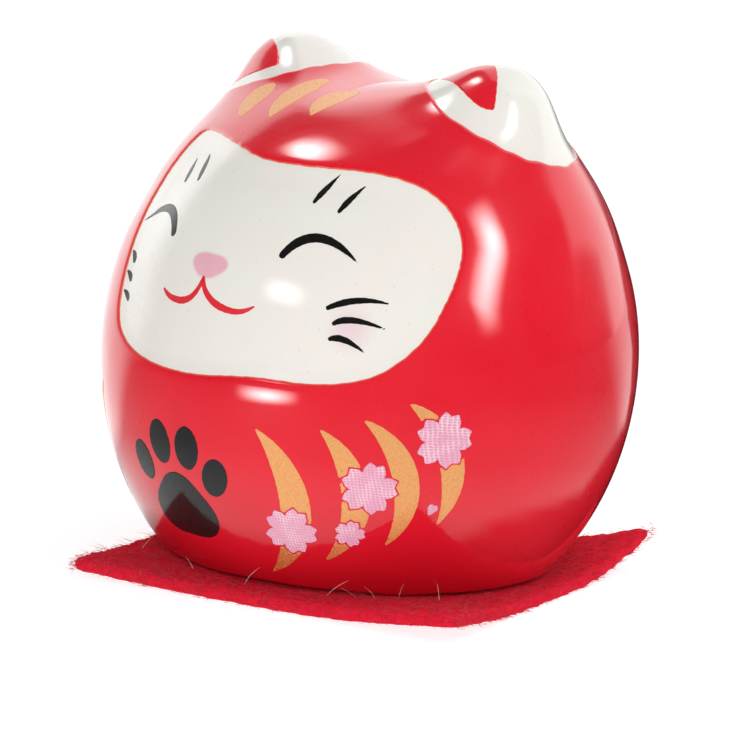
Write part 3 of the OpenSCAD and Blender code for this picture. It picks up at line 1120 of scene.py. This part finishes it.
def stray_hairs():
    """A few long pale hairs caught on the felt close to the foot."""
    roots, headings, rises, lengths = [], [], [], []
    for turn, r in STRAYS:
        x, y = r * math.sin(math.radians(turn)), -r * math.cos(math.radians(turn))
        roots.append((x, y, FLOOR_HEIGHT + felt_lift(x, y) + FELT_T))
        headings.append(rng.uniform(0, 2 * math.pi))
        rises.append(rng.uniform(0.5, 1.1))
        lengths.append(rng.uniform(1.6, 3.2))
    return hairs("stray_hairs", roots, lengths, 0.03, headings, rises, rng.normal(0, 0.08, len(roots)),
                 felt_fibre("pale_fibre", (252, 232, 214)), bend=0.4)


SHEET = felt_sheet()
FUZZ = felt_fuzz()
STRAY_HAIRS = stray_hairs()


# ---- Floor and camera ----

FIGURE_MIDDLE = Vector((0, 0, FOOT_Z + MIDDLE[2] * MM))
FLOOR_HALF = 3.0

# The camera's bearing round the figure, height angle and roll, and its distance from its target in mm.
CAMERA_TURN = math.radians(39.805)
CAMERA_CLIMB = math.radians(10.139)
CAMERA_ROLL = math.radians(4.131)
CAMERA_AWAY = 477.55
# Its target: how far to the right of the figure's axis, and how high over the foot, in mm.
TARGET_RIGHT, TARGET_UP = 0.842, 18.535
LENS = 234.0


def bearing(turn, climb):
    """Unit vector to a bearing round the figure (0 in front, towards +X) and a height angle."""
    return Vector((math.sin(turn) * math.cos(climb), -math.cos(turn) * math.cos(climb), math.sin(climb)))


def stage_mesh(name, points, faces, material, **seen):
    """A part of the studio. seen says which rays see it, by the names of the object's own settings."""
    mesh = bpy.data.meshes.new(name)
    mesh.from_pydata(points, [], faces)
    mesh.materials.append(material)
    piece = bpy.data.objects.new(name, mesh)
    bpy.context.scene.collection.objects.link(piece)
    for setting, value in seen.items():
        setattr(piece, setting, value)
    return piece


def floor():
    h = FLOOR_HALF
    stage_mesh("floor", [(-h, -h, 0), (h, -h, 0), (h, h, 0), (-h, h, 0)], [(0, 1, 2, 3)], pale_floor(),
               visible_glossy=False)


def camera():
    right = Vector((math.cos(CAMERA_TURN), math.sin(CAMERA_TURN), 0))
    back = bearing(CAMERA_TURN, CAMERA_CLIMB)
    target = right * TARGET_RIGHT * MM + Vector((0, 0, TARGET_UP * MM + FOOT_Z))
    turned_right = right * math.cos(CAMERA_ROLL) + back.cross(right) * math.sin(CAMERA_ROLL)
    axes = Matrix((turned_right, back.cross(turned_right), back)).transposed()
    data = bpy.data.cameras.new("camera")
    data.lens = LENS
    data.sensor_width = 36.0
    data.clip_start = 0.01
    data.clip_end = 20.0
    eye = bpy.data.objects.new("camera", data)
    eye.matrix_world = Matrix.Translation(target + back * CAMERA_AWAY * MM) @ axes.to_4x4()
    bpy.context.scene.collection.objects.link(eye)
    bpy.context.scene.camera = eye


# ---- What the glaze mirrors ----
# A place in it is a bearing from the camera, in degrees, and on the room an angle from straight up,
# or on the table a distance from the figure's axis in mm.

# Edge of the white room behind and over the figure.
ROOM_EDGE = [
    (122, 98), (127, 91), (125, 87), (100, 79), (104, 60), (64, 32), (44, 15), (80, 5), (-137, 11),
    (-155, 27), (-161, 39), (-162, 46), (-163, 49), (-163, 53), (-141, 54), (-122, 75), (-108, 98),
    (-108, 125), (-140, 150), (180, 150), (140, 150), (118, 125),
]
ROOM_RADIUS = 1.5
ROOM_ROWS = np.arange(0.5, 100, 2.5)
TABLE_ROWS = [20, 24, 27, 30, 33, 36, 39, 42, 46, 50, 55, 60, 66, 74, 85, 100, 120, 150, 200, 300, 500,
              900, 1500]
POLAR_COLUMNS = 144
# The figure's shade on the table: its bearings, and how far out it reaches at each.
SHADE_TURNS = [22, 49, 77, 95, 107, 122, 139, 143, 149]
SHADE_REACH = [24, 32, 36, 40, 49, 64, 89, 205, 1500]


def flat_sky(turn, down):
    """A direction on a flat map whose middle is straight up."""
    return down * np.sin(np.radians(turn)), down * np.cos(np.radians(turn))


def bright_again(turn):
    """From 0 in the dark gap in the wall, to the right, to 1 straight behind the figure."""
    return smoothstep(173, 179, turn)


def room_glow(turn, down):
    """A wall with a soft edge and a dark gap in it, a lamp behind the figure and a window to the left."""
    edge = np.array([flat_sky(*corner) for corner in ROOM_EDGE])
    soft = np.where(turn < 0, 2 + 12 * smoothstep(50, 80, down), 5)
    wall = smoothstep(-soft, soft, polygon_inside(edge, *flat_sky(turn, down)))
    behind = np.abs((turn - 188 + 180) % 360 - 180)
    lamp = np.exp(-(behind / 12)**2 - ((down - 57) / 8)**2)
    window = np.exp(-((turn + 131) / 14)**2 - ((down - 72) / 13)**2)
    gap = smoothstep(149, 153, turn) * (1 - bright_again(turn)) * smoothstep(80, 88, down)
    return 0.04 + wall * (1.25 + 0.5 * lamp) * (1 - gap) + window


def table_glow(turn, away):
    """The table is bright close to the felt and behind the figure, fades to the front, and has the
    figure's own shade on its right."""
    near = np.interp(away, [34, 50, 85, 150], [0.9, 0.45, 0.27, 0.08])
    shade = np.interp(turn, SHADE_TURNS, SHADE_REACH)
    shade = np.maximum(shade * (1 - bright_again(turn)), 1.0)
    left = 1.25 * smoothstep(104, 122, -turn) * smoothstep(30, 60, away)
    right = 0.95 * smoothstep(112, 135, turn) * smoothstep(30, 90, away)
    return np.maximum(near, np.maximum(left, right)) * smoothstep(0.93, 1.07, away / shade)


def on_room(turn, down):
    return FIGURE_MIDDLE + bearing(CAMERA_TURN + math.radians(turn), math.radians(90 - down)) * ROOM_RADIUS


def on_table(turn, away):
    return bearing(CAMERA_TURN + math.radians(turn), 0) * away * MM - Vector((0, 0, 0.0002))


def polar_mesh(name, rows, place, glow):
    """A sheet of rings round the figure that only mirrors see, with its brightness at each point."""
    turns = np.linspace(-180, 180, POLAR_COLUMNS, endpoint=False)
    points = [place(turn, row) for row in rows for turn in turns]
    bright = [glow(turns, np.full(POLAR_COLUMNS, float(row))) for row in rows]
    sheet = stage_mesh(name, points, round_quads(len(rows), POLAR_COLUMNS), mirrored_glow(name),
                       visible_camera=False, visible_diffuse=False, visible_shadow=False,
                       visible_transmission=False)
    sheet.data.attributes.new("glow", "FLOAT", "POINT").data.foreach_set("value", np.concatenate(bright))


# ---- Lamps ----

# Large soft lamps, which light the figure but don't show in its glaze: bearing, climb, width and height
# in degrees, and radiance.
FILLS = [
    ("left_fill", -95, 10, 56, 60, 1.3),
    ("right_fill", 160, 10, 60, 60, 1.2),
    ("top_fill", 120, 65, 90, 60, 1.2),
    ("front_fill", 30, 12, 80, 50, 1.7),
]
# Small lamps, which only make the highlights in the glaze, with the turn of each on its own axis.
SPOTS = [
    ("forehead_lamp", -87, 63, 25, 13, 22, 48),
    ("face_lamp", -2, 24, 25, 12, 10, 0),
    ("side_strip", 90, 33, 15, 46, 24, 7),
]
# How far off the lamps stand, in metres, and over what share of its face each kind fades.
LAMPS_AWAY = 0.6
CHEST_AWAY = 0.07
FILL_EDGE = 0.3
SPOT_EDGE = 1.0


def softbox(name, turn, climb, away, wide, tall, radiance, edge, aim=(0, 0, 0), spin=0.0):
    """A soft lamp at a bearing from the figure; wide and tall are the angles that it fills, in degrees.
    Its light fades over the outer share edge of its face. aim is where it points, in mm from the middle."""
    way = bearing(math.radians(turn), math.radians(climb))
    data = bpy.data.lights.new(name, "AREA")
    data.shape = "RECTANGLE"
    data.size = 2 * away * math.tan(math.radians(wide / 2))
    data.size_y = 2 * away * math.tan(math.radians(tall / 2))
    data.energy = radiance * math.pi * data.size * data.size_y
    fade(data, edge)
    lamp = bpy.data.objects.new(name, data)
    turned = way.to_track_quat("Z", "Y").to_matrix().to_4x4() @ Matrix.Rotation(math.radians(spin), 4, "Z")
    lamp.matrix_world = Matrix.Translation(FIGURE_MIDDLE + Vector(aim) * MM + way * away) @ turned
    lamp.visible_camera = False
    bpy.context.scene.collection.objects.link(lamp)
    return lamp


def fade(data, edge):
    """Fades a lamp's face towards its edges."""
    data.use_nodes = True
    tree = data.node_tree
    place = add_node(tree, "ShaderNodeNewGeometry", "Parametric")
    shares = []
    for axis in "XY":
        position = add_node(tree, "ShaderNodeSeparateXYZ", axis, {0: place})
        off_middle = math_node(tree, "ABSOLUTE", math_node(tree, "SUBTRACT", position, 0.5))
        shares.append(add_node(tree, "ShaderNodeMapRange", 0, {
            "Value": math_node(tree, "SUBTRACT", 0.5, off_middle), "From Max": edge / 2},
            interpolation_type="SMOOTHSTEP"))
    tree.links.new(math_node(tree, "MULTIPLY", *shares), tree.nodes["Emission"].inputs["Strength"])


def lights():
    for name, turn, climb, wide, tall, radiance in FILLS:
        softbox(name, turn, climb, LAMPS_AWAY, wide, tall, radiance, FILL_EDGE).visible_glossy = False
    for name, turn, climb, wide, tall, radiance, spin in SPOTS:
        lamp = softbox(name, turn, climb, LAMPS_AWAY, wide, tall, radiance, SPOT_EDGE, spin=spin)
        lamp.visible_diffuse = False
    chest = softbox("chest_strip", -3, -12, CHEST_AWAY, 36, 8, 24, SPOT_EDGE, aim=(9.0, -24.3, -1.9))
    chest.visible_diffuse = False
    world = bpy.data.worlds.new("studio")
    bpy.context.scene.world = world
    world.use_nodes = True
    background = world.node_tree.nodes["Background"]
    background.inputs["Color"].default_value = (1.0, 1.0, 1.0, 1.0)
    background.inputs["Strength"].default_value = 0.3
    world.cycles_visibility.glossy = False


floor()
polar_mesh("room", ROOM_ROWS, on_room, room_glow)
polar_mesh("table", TABLE_ROWS, on_table, table_glow)
camera()
lights()
bpy.context.scene.view_settings.view_transform = "Standard"
